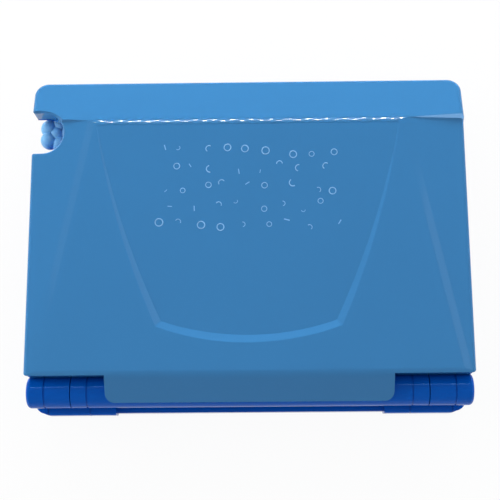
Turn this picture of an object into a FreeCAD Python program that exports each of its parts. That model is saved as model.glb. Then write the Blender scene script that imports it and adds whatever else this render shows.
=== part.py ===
import FreeCAD, Part
import math
import os

# Toy laptop computer, closed and standing on its feet. Lengths are in millimetres.
# +X is the user's right, -Y is the front edge, and the hinge runs along X at the back.

# Whole body
lid_width = 250.0        # side to side, over the lid and over the two hinge barrels
front_reach = 180.5      # hinge axis to the lid's front edge
back_reach = 12.5        # hinge axis to the backs of the hinge cradles
lid_height = 17.6        # lid's underside to its top
foot_height = 2.0        # feet below the tray
tray_height = 11.0       # tray's underside to its seam with the deck
deck_height = 13.0       # seam to the palm rest
lid_gap = 0.4            # deck to the closed lid
base_inset = 1.5         # base's sides inside the lid's
wall = 2.0               # moulded walls
corner_radius = 8.0      # front corners, seen from above
tray_round = 5.0         # lower edge of the tray
slide_gap = 0.3          # room round pieces that slide
seat_gap = 0.1           # room round pieces that sit still
margin = 1.0             # how far a cut runs past the piece it cuts
same_place = 0.01        # nearer than this counts as the same level or place

# Hinge
hinge_rise = 0.6         # hinge axis above the lid's underside
barrel_radius = 9.0
barrel_length = 44.4     # each dark barrel, from the lid's side inwards
knuckle_length = 19.5    # the lid's share of a barrel
knuckle_gap = 0.5
barrel_gap = 0.6         # barrel to the cradle under it
barrel_round = 2.5       # outer ends of the barrels
ring_offset = 10.2       # ring groove from each end of a barrel
ring_width = 0.8
ring_depth = 0.5
pin_radius = 2.0
pin_length = 38.0
pin_fit = 0.05
trough_gap = 3.2         # base to barrel, where the lid's back turns down
cradle_rise = 10.0       # cradle's back wall below the hinge axis, at its lowest
cradle_lip = 8.0         # cradle's back lip below the hinge axis
cradle_round = 9.0       # lower back edge of a cradle
cradle_edge = 1.5
cradle_corner = 7.0      # outer back corner of a cradle, seen from above
cradle_side = 4.8        # lid's side to a cradle's outer end
cradle_length = 44.0
back_inset = 1.3         # base's back between the cradles, inside the cradles' backs

# Lid cover
bezel_edge = 4.0         # inner lid frame showing below the cover
crease_setback = 25.8    # front edge to the crease where the front strip starts down
front_slope = 18.0       # front strip, in degrees
side_crease_front = 0.36 * lid_width   # half distance between the side creases, at the front crease
side_crease_back = 0.484 * lid_width   # and at the hinge end
side_drop = 3.0          # side edge below the top, level with the front crease
wedge_reach = 2.2        # front crease to the front end of the step beside the front strip
crease_ease = 0.09       # narrow facet along the side creases, below their edge
tab_clearance = 0.5      # lid's back tab to the barrels beside it
tab_reach = 6.8          # back tab behind the hinge axis
tab_crease = 7.7         # its crease in front of the hinge axis
tab_slope = 30.0         # degrees
tab_corner = 5.0
notch_overlap = 1.2      # cover's back corners over the barrels
crease_round = 12.0
rim_round = 2.5          # upper outer edge
back_corner = 2.2        # cover's upright corners over the barrels
notch_corner = 1.8       # and beside the finger notch

# Sunken panel in the cover
panel_setback = 2.6      # front crease to the panel
panel_half_front = 0.35 * lid_width
panel_half_middle = 0.304 * lid_width
panel_half_back = 0.208 * lid_width
panel_middle_reach = 0.56 * front_reach   # hinge axis to the panel's middle width
panel_corner_reach = 0.191 * front_reach  # hinge axis to its back corners
panel_back_reach = 0.14 * front_reach     # hinge axis to the middle of its curved back edge
panel_depth_front = 0.16
panel_depth_back = 1.9
panel_wall_angle = 23.0  # degrees
panel_corner = 4.0
panel_rim_round = 1.2
panel_floor_round = 0.4
wall_lift = 0.97         # faces steeper than this, upward part of their normal, are panel walls

# Stylus and its notch
notch_setback = 32.3     # lid's front edge to the middle of the notch
notch_radius = 12.2
notch_depth = 18.6       # from the lid's side
notch_edge = 0.7
stylus_setback = 26.5    # lid's front edge to the stylus
stylus_drop = 6.4        # palm rest to the stylus axis
stylus_radius = 3.6
stylus_length = 82.0     # barrel and tip
tip_length = 9.0
tip_radius = 1.2
bore_gap = 0.35
pocket_radius = 13.5     # knob's pocket through the base
pocket_depth = 23.6      # from the lid's side
pocket_gap = 0.6         # knob to the pocket's end
knob_radius = 11.6
petal_count = 5
petal_radius = 5.6
knob_core_radius = 5.6
stylus_neck = 2.6        # barrel's radius where the tip starts
grip_rings = 4
grip_pitch = 4.0
grip_width = 1.2
grip_depth = 0.5

# Keyboard
key_columns = 11
key_rows = 4
keyboard_setback = 52.0  # lid's front edge to the front row
keyboard_side = 28.75    # lid's side to the keys
control_room = 62.5      # back row to the hinge axis
key_pitch_x = (lid_width - 2 * keyboard_side) / key_columns
key_pitch_y = (front_reach - keyboard_setback - control_room) / key_rows
key_gap = 2.6            # between neighbouring caps
key_rise = 3.0           # caps above the floor of the well
key_travel = 1.6
key_taper = 0.9
key_corner = 1.6
key_flange = 0.8         # ledge that keeps a key in its hole
key_flange_height = 1.0
well_depth = 4.0
well_margin = 3.0
well_corner = 4.0
deck_round = 1.5         # upper edge of the deck
mat_thickness = 1.0
board_thickness = 1.6
pad_half = 3.4
pad_taper = 1.2
pad_spare = 1.2          # rubber left under a pressed key
board_post_inset = 9.0   # board's edges to the posts under it
chip_spread = 35.0
chip_half = 8.0
chip_height = 1.4
letter_rows = [("qwertyuiop", 0.0), ("asdfghjkl", 0.25), ("zxcvbnm", 0.75)]
wide_keys = [("erase", 10.0, 0, 1.0), ("enter", 9.25, 1, 1.75), ("up", 9.0, 2, 1.0), ("menu", 0.0, 3, 2.0),
             ("space", 2.25, 3, 5.0), ("left", 8.0, 3, 1.0), ("down", 9.0, 3, 1.0), ("right", 10.0, 3, 1.0)]

# Controls behind the keyboard
strip_reach = 33.0       # hinge axis to the middle of the control strip
control_depth = 3.0
control_side = 9.0       # lid's side to the control pocket
control_length = 46.0
control_half = 14.0
control_corner = 5.0
control_post_inset = 3.0
control_board_drop = 5.5  # pocket's underside to the small board
button_inset = 12.0      # pocket's right end to the power button
button_radius = 6.5
button_rise = 2.2
button_travel = 1.2
button_round = 0.8
slider_inset = 13.0      # pocket's left end to the volume slider
slider_length = 8.0
slider_width = 6.0
slider_travel = 7.0      # each way from the middle
slider_rise = 2.2
slider_stem = 1.6        # half width of the stem in the slot
speaker_side = 32.0      # lid's side to the loudspeaker
speaker_radius = 18.0
speaker_depth = 14.0
grille_pitch = 4.4
grille_slot = 2.0
grille_radius = 16.0
grille_corner = 0.49 * grille_slot

# Batteries
cell_radius = 7.1
cell_length = 50.0
cell_pitch = 15.2
cell_nub = 2.6
contact_length = 3.9
contact_plate = 0.5
bay_wall = 2.4
door_ledge = 1.2
door_ear = 7.0
door_ear_length = 9.6
door_head_height = 1.1
door_screw_length = 7.0
cell_nub_height = 1.2
contact_half = 5.0
tab_place = 30.0
tab_half_width = 5.0
tab_tongue = 1.6
tab_thickness = 1.2

# Screws, feet and bumpers
screw_radius = 1.25
screw_head_radius = 2.6
screw_head_height = 1.6
screw_length = 12.0
lid_screw_length = 7.0
boss_wall = 2.4
case_screw_side = 12.0   # lid's side to the case screws
case_screw_front = 7.6   # lid's front edge to the first pair
case_screw_middle = 64.0  # hinge axis to the second pair
case_screw_back = 20.0   # and to the third, which is beside the battery bay
case_screw_inner = 66.0
lid_screw_side = 13.0
lid_screw_front = 9.5
lid_screw_middle = 82.0
lid_screw_rim = 9.0      # lid's side to the second pair
lid_screw_back = 20.0
screw_recess = 6.0       # depth of the tray's screw wells
foot_radius = 6.0
foot_recess = 1.0
foot_chamfer = 0.8
foot_side = 28.0         # lid's side to the feet
foot_front = 14.5        # lid's front edge to the front feet
foot_back = 5.0          # hinge axis to the back feet
bumper_radius = 3.5
bumper_recess = 0.8
bumper_front = (27.0, 7.5)   # front bumpers from the lid's side and front edge
bumper_side = (6.0, 54.0)    # side bumpers from the lid's side and the hinge axis

# Display
screen_setback = 86.0    # lid's front edge to the screen's middle
window_width = 124.0
window_height = 82.0
window_thickness = 1.0
window_corner = 4.0
view_width = 112.0
view_height = 70.0
panel_thickness = 4.5
bezel_plate = 3.0
bezel_inset = 0.6        # inner frame's sides inside the cover's
lip_height = 3.0
lip_width = 1.6

# Levels and places that follow from the sizes above
half_width = lid_width / 2
hinge_y = (front_reach - back_reach) / 2
front_y = hinge_y - front_reach
back_y = hinge_y + back_reach
seam_z = foot_height + tray_height
deck_top = seam_z + deck_height
bezel_z = deck_top + lid_gap
closed_height = bezel_z + lid_height
hinge_height = bezel_z + hinge_rise
cover_z = bezel_z + bezel_edge
barrel_inner = half_width - barrel_length
split_x = barrel_inner + knuckle_length
notch_y = hinge_y - barrel_radius + notch_overlap
tab_y = hinge_y + tab_reach
tab_half = barrel_inner - tab_clearance
tab_edge_z = closed_height - (tab_reach + tab_crease) * math.tan(math.radians(tab_slope))
tab_radius = math.hypot(tab_reach, tab_edge_z - hinge_height)
crease_y = front_y + crease_setback
wedge_y = crease_y - wedge_reach
stylus_y = front_y + stylus_setback
notch_middle = front_y + notch_setback
stylus_height = deck_top - stylus_drop
notch_x = half_width - notch_depth + notch_radius
base_half = half_width - base_inset
cradle_outer = half_width - cradle_side
cradle_inner = cradle_outer - cradle_length
base_front = front_y + base_inset
base_back = back_y - back_inset
deck_back = hinge_y - barrel_radius - trough_gap
well_z = deck_top - well_depth
plate_z = well_z - wall
keys_front = front_y + keyboard_setback
keys_back = keys_front + key_rows * key_pitch_y
keys_left = -key_columns * key_pitch_x / 2
flange_top = plate_z
mat_top = flange_top - key_flange_height
board_top = mat_top - key_travel - pad_spare - mat_thickness
strip_y = hinge_y - strip_reach
screen_y = front_y + screen_setback
floor_z = foot_height + wall
shelf_top = hinge_height - barrel_radius - trough_gap
bezel_top = bezel_z + bezel_plate
window_top = bezel_z + window_thickness + seat_gap
control_z = deck_top - control_depth
control_flange = control_z - wall
control_board_z = control_z - wall - control_board_drop
pocket_end = half_width - pocket_depth
pocket_x = pocket_end + pocket_radius
knob_x = pocket_end + pocket_gap + knob_radius
stylus_end = pocket_end
bore_end = stylus_end - stylus_length - wall
pin_start = barrel_inner - wall
hollow_half = pin_start - wall
hollow_radius = barrel_radius - 1.5 * wall
screw_web = foot_height + screw_recess
well_radius = screw_head_radius + slide_gap
boss_radius = screw_radius + boss_wall
pilot_radius = screw_radius + pin_fit
cell_z = floor_z + slide_gap + cell_radius
bay_half_x = cell_length + contact_length
bay_half_y = cell_pitch / 2 + cell_radius + slide_gap
bay_top = cell_z + cell_radius + slide_gap
door_screw_y = strip_y - bay_half_y - door_ledge - door_ear_length / 2
door_screw_top = foot_height + door_head_height + door_screw_length + wall
control_right = half_width - control_side
control_left = control_right - control_length
button_x = control_right - button_inset
slider_x = control_left + slider_inset
speaker_x = speaker_side - half_width
post_reach = control_half - control_post_inset
control_posts = [(x, y) for x in (control_left + control_post_inset, control_right - control_post_inset)
                 for y in (strip_y - post_reach, strip_y + post_reach)]
board_posts = [(-keys_left - board_post_inset, keys_front + board_post_inset),
               (-keys_left - board_post_inset, keys_back - board_post_inset)]
case_screws = [(half_width - case_screw_side, front_y + case_screw_front),
               (half_width - case_screw_side, hinge_y - case_screw_middle),
               (case_screw_inner, hinge_y - case_screw_back)]
lid_screws = [(half_width - lid_screw_side, front_y + lid_screw_front),
              (half_width - lid_screw_rim, hinge_y - lid_screw_middle),
              (half_width - lid_screw_side, hinge_y - lid_screw_back)]
foot_places = [(half_width - foot_side, front_y + foot_front), (half_width - foot_side, hinge_y - foot_back)]
bumper_places = [(half_width - bumper_front[0], front_y + bumper_front[1]),
                 (half_width - bumper_side[0], hinge_y - bumper_side[1])]


def at(x, y, z):
    return FreeCAD.Vector(x, y, z)


def block(x0, x1, y0, y1, z0, z1):
    return Part.makeBox(x1 - x0, y1 - y0, z1 - z0, at(x0, y0, z0))


def block_round(x, y, half_x, half_y, z0, z1):
    """Upright block centred on a place."""
    return block(x - half_x, x + half_x, y - half_y, y + half_y, z0, z1)


def post(x, y, z0, z1, radius):
    return Part.makeCylinder(radius, z1 - z0, at(x, y, z0))


def posts(places, z0, z1, radius):
    return [post(x, y, z0, z1, radius) for x, y in places]


def rod(x0, x1, y, z, radius):
    return Part.makeCylinder(radius, x1 - x0, at(x0, y, z), at(1, 0, 0))


def rounded_wire(corners, place):
    """Closed outline through (u, v, radius) corners; place puts a flat point into space."""
    count = len(corners)
    turns = []
    for index, (u, v, radius) in enumerate(corners):
        corner = at(u, v, 0)
        before = at(corners[index - 1][0], corners[index - 1][1], 0) - corner
        after = at(corners[(index + 1) % count][0], corners[(index + 1) % count][1], 0) - corner
        before.normalize()
        after.normalize()
        if radius <= 0:
            turns.append((corner, None, corner))
            continue
        half_turn = before.getAngle(after) / 2
        run = radius / math.tan(half_turn)
        inward = (before + after).normalize()
        centre = corner + inward * (radius / math.sin(half_turn))
        turns.append((corner + before * run, centre - inward * radius, corner + after * run))
    edges = []
    for index, (start, middle, stop) in enumerate(turns):
        if middle is not None:
            edges.append(Part.Arc(place(start), place(middle), place(stop)).toShape())
        following = turns[(index + 1) % count][0]
        if (following - stop).Length > 1e-6:
            edges.append(Part.LineSegment(place(stop), place(following)).toShape())
    return Part.Wire(edges)


def prism(corners, z0, z1):
    outline = rounded_wire(corners, lambda point: at(point.x, point.y, z0))
    return Part.Face(outline).extrude(at(0, 0, z1 - z0))


def profile_along_x(corners, x0, x1):
    outline = rounded_wire(corners, lambda point: at(x0, point.x, point.y))
    return Part.Face(outline).extrude(at(x1 - x0, 0, 0))


def rectangle(x0, x1, y0, y1, radius):
    return [(x0, y0, radius), (x1, y0, radius), (x1, y1, radius), (x0, y1, radius)]


def slab(x0, x1, y0, y1, radius, z0, z1):
    return prism(rectangle(x0, x1, y0, y1, radius), z0, z1)


def half_space(point, normal):
    """Large block that fills the side of a plane that its normal points to."""
    reach = 4 * lid_width
    space = Part.makeBox(reach, reach, reach, at(-reach / 2, -reach / 2, 0))
    space.Placement = FreeCAD.Placement(point, FreeCAD.Rotation(at(0, 0, 1), normal))
    return space


def both_sides(places):
    return [(side * x, y) for x, y in places for side in (-1, 1)]


def span(side, x0, x1):
    """Ends of a stretch along X on the given side, lower first."""
    return sorted((side * x0, side * x1))


def hinge_rods(x0, x1, radius):
    """A rod on the hinge axis at each side."""
    return [rod(*span(side, x0, x1), hinge_y, hinge_height, radius) for side in (-1, 1)]


def fused(first, others):
    return first.fuse(others).removeSplitter()


def save(name, shape):
    shape.exportStep("parts/" + name + ".step")


def lift(face):
    u0, u1, v0, v1 = face.ParameterRange
    return face.normalAt((u0 + u1) / 2, (v0 + v1) / 2).z


def edges_where(solid, rule):
    """Edges whose lower and higher face lift, and middle point, satisfy the rule."""
    chosen = []
    for edge in solid.Edges:
        lifts = sorted(lift(face) for face in solid.ancestorsOfType(edge, Part.Face))
        middle = edge.valueAt((edge.FirstParameter + edge.LastParameter) / 2)
        if len(lifts) == 2 and rule(lifts[0], lifts[1], middle):
            chosen.append(edge)
    return chosen


def edges_at(solid, z):
    return [edge for edge in solid.Edges if abs(edge.CenterOfMass.z - z) < same_place]


def side_notch(x, y, radius, z0, z1):
    """Half-round notch in the right edge, open to the side."""
    mouth = block(x, half_width + radius, y - radius, y + radius, z0, z1)
    return post(x, y, z0, z1, radius).fuse(mouth).removeSplitter()


def finger_notch(grow, z0, z1):
    return side_notch(notch_x, notch_middle, notch_radius + grow, z0, z1)


def knob_pocket(grow, z0, z1):
    return side_notch(pocket_x, stylus_y, pocket_radius + grow, z0, z1)


def corner_ease(x, y, out_x, out_y, radius):
    """What rounding takes off an upright corner of the lid, which points the given way."""
    inner_x = x - out_x * radius
    inner_y = y - out_y * radius
    span_x = sorted((inner_x, x + out_x * margin))
    span_y = sorted((inner_y, y + out_y * margin))
    square = block(*span_x, *span_y, bezel_z, closed_height)
    return square.cut(post(inner_x, inner_y, bezel_z, closed_height, radius))


def notch_flare():
    """Sloping rim of the finger notch, square to the lid's side facet."""
    point, normal = lid_side_planes(1)[0]
    rise = (normal.x * (notch_x - point.x) + normal.y * (notch_middle - point.y)) / normal.z
    outlines = []
    for level in (-1.5 * notch_edge, side_drop):
        radius = notch_radius + notch_edge + level
        mouth = [at(0, radius, level), at(2 * radius, radius, level),
                 at(2 * radius, -radius, level), at(0, -radius, level)]
        sides = [Part.LineSegment(mouth[index], mouth[index + 1]).toShape() for index in range(3)]
        arc = Part.Arc(mouth[3], at(-radius, 0, level), mouth[0]).toShape()
        outlines.append(Part.Wire(sides + [arc]))
    flare = Part.makeLoft(outlines, True, True)
    place = at(notch_x, notch_middle, point.z - rise)
    flare.Placement = FreeCAD.Placement(place, FreeCAD.Rotation(at(0, 0, 1), normal))
    return flare


def lid_corners(inset):
    side = half_width - inset
    tab = tab_half - inset
    radius = corner_radius - inset
    right = [(side, front_y + inset, radius), (side, notch_y - inset, 0), (tab, notch_y - inset, 0),
             (tab, tab_y - inset, tab_corner)]
    left = [(-x, y, turn) for x, y, turn in reversed(right)]
    return right + left


def lid_profile(inset):
    """Side view of the lid's volume: front strip, level top and the slope of the back tab."""
    top = closed_height - inset
    front_tilt = math.radians(front_slope)
    tab_tilt = math.radians(tab_slope)
    front_crease = crease_y + inset * math.tan(front_tilt / 2)
    back_crease = hinge_y - tab_crease - inset * math.tan(tab_tilt / 2)
    front_z = strip_z(front_y, top, front_crease)
    back_z = top - (tab_y - back_crease) * math.tan(tab_tilt)
    corners = [(front_y, cover_z, 0), (tab_y, cover_z, 0), (tab_y, back_z, 0),
               (back_crease, top, crease_round), (front_crease, top, crease_round), (front_y, front_z, 0)]
    return profile_along_x(corners, -half_width, half_width)


def strip_z(y, top, crease):
    """Height of the front strip at a distance from the crease."""
    return top - (crease - y) * math.tan(math.radians(front_slope))


def facet(first, second, third):
    """Plane through three points, as a point and an upward normal."""
    normal = (second - first).cross(third - first).normalize()
    return first, normal if normal.z > 0 else normal * -1


def lid_side_planes(side):
    """Planes at one side of the lid's top: side facet, step up to the front strip, eased side crease."""
    front = at(side * side_crease_front, crease_y, closed_height)
    back = at(side * side_crease_back, notch_y, closed_height)
    edge = at(side * half_width, crease_y, closed_height - side_drop)
    corner = at(side * half_width, wedge_y, strip_z(wedge_y, closed_height, crease_y))
    side_facet = facet(front, back, edge)
    step = facet(front, edge, corner)
    eased = front - at(0, 0, crease_ease), (side_facet[1] + at(0, 0, 1)).normalize()
    return side_facet, step, eased


def side_cutters(side):
    """What lies over one side facet, its rounded edge and its eased crease, behind the step."""
    side_facet, step, eased = lid_side_planes(side)
    top = closed_height + margin
    kept = block(*span(side, 0, half_width), front_y, tab_y, cover_z, top).cut(half_space(*side_facet))
    kept = kept.makeFillet(rim_round, edges_where(kept, on_side_edge))
    over = block(*span(side, 0, half_width + margin), front_y, tab_y, cover_z, top).cut(kept)
    return [space.common(half_space(*step)) for space in (over, half_space(*eased))]


def on_side_edge(low, high, point):
    return abs(low) < 0.1 and high > 0.9 and abs(abs(point.x) - half_width) < same_place


def lid_volume(inset):
    body = prism(lid_corners(inset), cover_z, closed_height).common(lid_profile(inset))
    return body.Solids[0]


def lid_room(inset):
    """Space inside the lid's walls, under the side facets."""
    facets = [lid_side_planes(side)[0] for side in (-1, 1)]
    over = [half_space(point - normal * inset, normal) for point, normal in facets]
    return lid_volume(inset).cut(over)


def panel_recess(grow):
    """Sunken panel as a cutter: sloping walls over a floor that deepens towards the hinge."""
    front = crease_y + panel_setback
    corner = hinge_y - panel_corner_reach
    middle = hinge_y - panel_middle_reach
    back = hinge_y - panel_back_reach
    right = [at(panel_half_front, front, 0), at(panel_half_middle, middle, 0),
             at(panel_half_back, corner, 0)]
    left = [at(-point.x, point.y, 0) for point in right]
    rim = Part.Wire([
        Part.LineSegment(left[0], right[0]).toShape(),
        Part.Arc(right[0], right[1], right[2]).toShape(),
        Part.Arc(right[2], at(0, back, 0), left[2]).toShape(),
        Part.Arc(left[2], left[1], left[0]).toShape()])
    run = 1 / math.tan(math.radians(panel_wall_angle))
    sink = panel_depth_back + grow
    above = margin
    lower = rim.makeOffset2D(grow - sink * run, join=2)
    upper = rim.makeOffset2D(grow + above * run, join=2)
    lower.translate(at(0, 0, closed_height - sink))
    upper.translate(at(0, 0, closed_height + above))
    cutter = Part.makeLoft([lower, upper], True, True)
    slanted = [edge for edge in cutter.Edges if edge.BoundBox.ZLength > above]
    cutter = cutter.makeFillet(panel_corner + grow, slanted)
    slope = math.atan2(panel_depth_back - panel_depth_front, back - front)
    floor = at(0, front, closed_height - panel_depth_front - grow)
    return cutter.common(half_space(floor, at(0, math.sin(slope), math.cos(slope))))


def make_lid_cover():
    body = lid_volume(0)
    body = body.makeFillet(rim_round, edges_where(body, on_lid_rim))
    body = body.cut(side_cutters(-1) + side_cutters(1) + [panel_recess(0)])
    body = body.makeFillet(panel_rim_round, edges_where(body, on_panel_rim))
    body = body.makeFillet(panel_floor_round, edges_where(body, on_panel_foot))
    screw_places = both_sides(lid_screws)
    notch_wall = finger_notch(wall, bezel_z, closed_height)
    bosses = posts(screw_places, bezel_top, closed_height, boss_radius)
    cavity = lid_room(wall).cut([panel_recess(wall), notch_wall] + bosses)
    barrel = rod(-half_width, half_width, hinge_y, hinge_height, barrel_radius + slide_gap)
    body = body.cut([cavity, barrel, finger_notch(0, bezel_z, closed_height), notch_flare()])
    corners = [corner_ease(side * half_width, notch_y, side, 1, back_corner) for side in (-1, 1)]
    for side in (-1, 1):
        corners.append(corner_ease(half_width, notch_middle + side * notch_radius, 1, -side, notch_corner))
    body = body.cut(corners)
    body = fused(body, posts(screw_places, bezel_top, cover_z + wall, boss_radius))
    pilot_top = bezel_z + screw_head_height + lid_screw_length
    return body.cut(posts(screw_places, bezel_z, pilot_top, pilot_radius))


def on_lid_rim(low, high, point):
    return abs(low) < 0.1 and high > 0.5 and point.y < notch_y - margin


def over_panel(point):
    back = hinge_y - panel_back_reach + margin
    return abs(point.x) < panel_half_front + margin and crease_y + margin < point.y < back


def on_panel_rim(low, high, point):
    return low < wall_lift and over_panel(point) and abs(closed_height - point.z) < same_place


def on_panel_foot(low, high, point):
    sunk = closed_height - point.z
    return low < wall_lift and over_panel(point) and panel_depth_front / 2 < sunk < 2 * panel_depth_back


def ring_grooves(x):
    """Ring grooves round the hinge barrels at a distance from the middle."""
    outer = hinge_rods(x - ring_width / 2, x + ring_width / 2, 2 * barrel_radius)
    cores = hinge_rods(x - ring_width, x + ring_width, barrel_radius - ring_depth)
    return [ring.cut(core) for ring, core in zip(outer, cores)]


def frame_ring(inset, width, z1):
    """Upright band that follows the lid's outline."""
    return prism(lid_corners(inset), bezel_z, z1).cut(prism(lid_corners(inset + width), bezel_z, z1))


def make_lid_bezel():
    plate = prism(lid_corners(bezel_inset), bezel_z, bezel_top)
    lip = frame_ring(wall + 2 * seat_gap, lip_width, cover_z + lip_height)
    lip_back = notch_y - corner_radius
    lip = lip.common(block(-half_width, half_width, front_y, lip_back, bezel_z, closed_height))
    lip = lip.cut(finger_notch(wall + seat_gap, bezel_z, closed_height))
    knuckle_end = split_x - knuckle_gap / 2
    barrel = rod(-knuckle_end, knuckle_end, hinge_y, hinge_height, barrel_radius)
    necks = [block(*span(side, barrel_inner, knuckle_end), notch_y - 2 * wall, hinge_y - barrel_radius / 2,
                   bezel_z, cover_z - seat_gap) for side in (-1, 1)]
    screen_frame = screen_slab(window_width + 2 * lip_width, window_height + 2 * lip_width,
                               bezel_z, bezel_top + panel_thickness)
    body = fused(plate, [frame_ring(bezel_inset, wall, cover_z), lip, barrel, screen_frame] + necks)
    cuts = [screen_slab(window_width, window_height, bezel_z - margin, window_top),
            screen_slab(window_width, window_height, bezel_top, closed_height),
            screen_slab(view_width, view_height, bezel_z, closed_height),
            finger_notch(bezel_inset, bezel_z - margin, closed_height),
            rod(-hollow_half, hollow_half, hinge_y, hinge_height, hollow_radius)]
    cuts += hinge_rods(knuckle_end, half_width, barrel_radius + slide_gap)
    cuts += hinge_rods(hollow_half, half_width, pin_radius + pin_fit)
    cuts += ring_grooves(barrel_inner + ring_offset)
    cuts += posts(both_sides(lid_screws), bezel_z - margin, bezel_z + screw_head_height, well_radius)
    cuts += posts(both_sides(lid_screws), bezel_z, bezel_top + margin, screw_radius + slide_gap)
    cuts += posts(both_sides(bumper_places), bezel_z - margin, bezel_z + bumper_recess,
                  bumper_radius + seat_gap)
    return body.cut(cuts).removeSplitter()


def screen_slab(width, height, z0, z1):
    return slab(-width / 2, width / 2, screen_y - height / 2, screen_y + height / 2, window_corner, z0, z1)


def make_display():
    window = screen_slab(window_width - 2 * seat_gap, window_height - 2 * seat_gap,
                         window_top - window_thickness, window_top)
    panel = screen_slab(window_width - 2 * seat_gap, window_height - 2 * seat_gap,
                        bezel_top, bezel_top + panel_thickness)
    return window, panel


def keyboard():
    """Every key as name, first column, row counted from the back, and width in columns."""
    keys = []
    for row, (letters, stagger) in enumerate(letter_rows):
        keys += [(letter, stagger + index, row, 1.0) for index, letter in enumerate(letters)]
    return keys + wide_keys


def key_box(column, row, units):
    """Corners of a key's cap at its foot."""
    x0 = keys_left + column * key_pitch_x + key_gap / 2
    x1 = keys_left + (column + units) * key_pitch_x - key_gap / 2
    y1 = keys_back - row * key_pitch_y - key_gap / 2
    y0 = keys_back - (row + 1) * key_pitch_y + key_gap / 2
    return x0, x1, y0, y1


def make_key(column, row, units):
    x0, x1, y0, y1 = key_box(column, row, units)
    foot = block(x0, x1, y0, y1, flange_top - key_flange_height, well_z + slide_gap)
    flange = block(x0 - key_flange, x1 + key_flange, y0 - key_flange, y1 + key_flange,
                   flange_top - key_flange_height, flange_top)
    top = well_z + key_rise
    wires = []
    for inset, z in ((0, well_z + slide_gap), (key_taper, top)):
        corners = rectangle(x0 + inset, x1 - inset, y0 + inset, y1 - inset, key_corner)
        wires.append(rounded_wire(corners, lambda point: at(point.x, point.y, z)))
    cap = Part.makeLoft(wires, True, True)
    return fused(cap, [foot, flange])


def keyboard_sheet(z0, z1):
    return slab(keys_left, -keys_left, keys_front, keys_back, well_corner, z0, z1)


def make_key_mat():
    pads = []
    for name, column, row, units in keyboard():
        x0, x1, y0, y1 = key_box(column, row, units)
        spread = (units - 1) * key_pitch_x / 3
        for shift in ([0] if units < 2 else [-spread, spread]):
            pads.append(rubber_pad((x0 + x1) / 2 + shift, (y0 + y1) / 2))
    return fused(keyboard_sheet(board_top, board_top + mat_thickness), pads)


def rubber_pad(x, y):
    wires = []
    for half, z in ((pad_half, board_top + mat_thickness), (pad_half - pad_taper, mat_top)):
        corners = rectangle(x - half, x + half, y - half, y + half, 0)
        wires.append(rounded_wire(corners, lambda point: at(point.x, point.y, z)))
    return Part.makeLoft(wires, True, True)


def make_main_board():
    board_bottom = board_top - board_thickness
    chip_y = (keys_front + keys_back) / 2
    chips = [block_round(x, chip_y, chip_half, chip_half, board_bottom - chip_height, board_bottom)
             for x in (-chip_spread, chip_spread)]
    return fused(keyboard_sheet(board_bottom, board_top), chips)


def deck_corners(inset):
    side = base_half - inset
    radius = corner_radius - base_inset - inset
    return [(-side, base_front + inset, radius), (side, base_front + inset, radius),
            (side, deck_back - inset, 0), (-side, deck_back - inset, 0)]


def keyboard_well(grow, z0, z1):
    spread = well_margin + grow
    return slab(keys_left - spread, -keys_left + spread, keys_front - spread, keys_back + spread,
                well_corner + grow, z0, z1)


def control_pocket(grow, z0, z1):
    return slab(control_left - grow, control_right + grow, strip_y - control_half - grow,
                strip_y + control_half + grow, control_corner + grow, z0, z1)


def grille_slots():
    """Slots over the loudspeaker, cut to a round outline."""
    slots = []
    count = int(grille_radius / grille_pitch)
    for index in range(-count, count + 1):
        offset = index * grille_pitch
        half = math.sqrt(grille_radius ** 2 - offset ** 2)
        y = strip_y + offset
        slots.append(slab(speaker_x - half, speaker_x + half, y - grille_slot / 2, y + grille_slot / 2,
                          grille_corner, deck_top - 2 * wall, deck_top + margin))
    return slots


def deck_knuckles():
    """Outer hinge knuckles, with the necks that carry them."""
    knuckles = []
    start = split_x + knuckle_gap / 2
    for side, knuckle in zip((-1, 1), hinge_rods(start, half_width, barrel_radius)):
        outer = [edge for edge in knuckle.Edges if abs(edge.CenterOfMass.x - side * half_width) < same_place]
        knuckles.append(knuckle.makeFillet(barrel_round, outer))
        neck = block(*span(side, start, base_half - wall), deck_back - wall, hinge_y - barrel_radius / 2,
                     hinge_height - barrel_radius, deck_top - seat_gap)
        knuckles.append(neck)
    return knuckles


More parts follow.
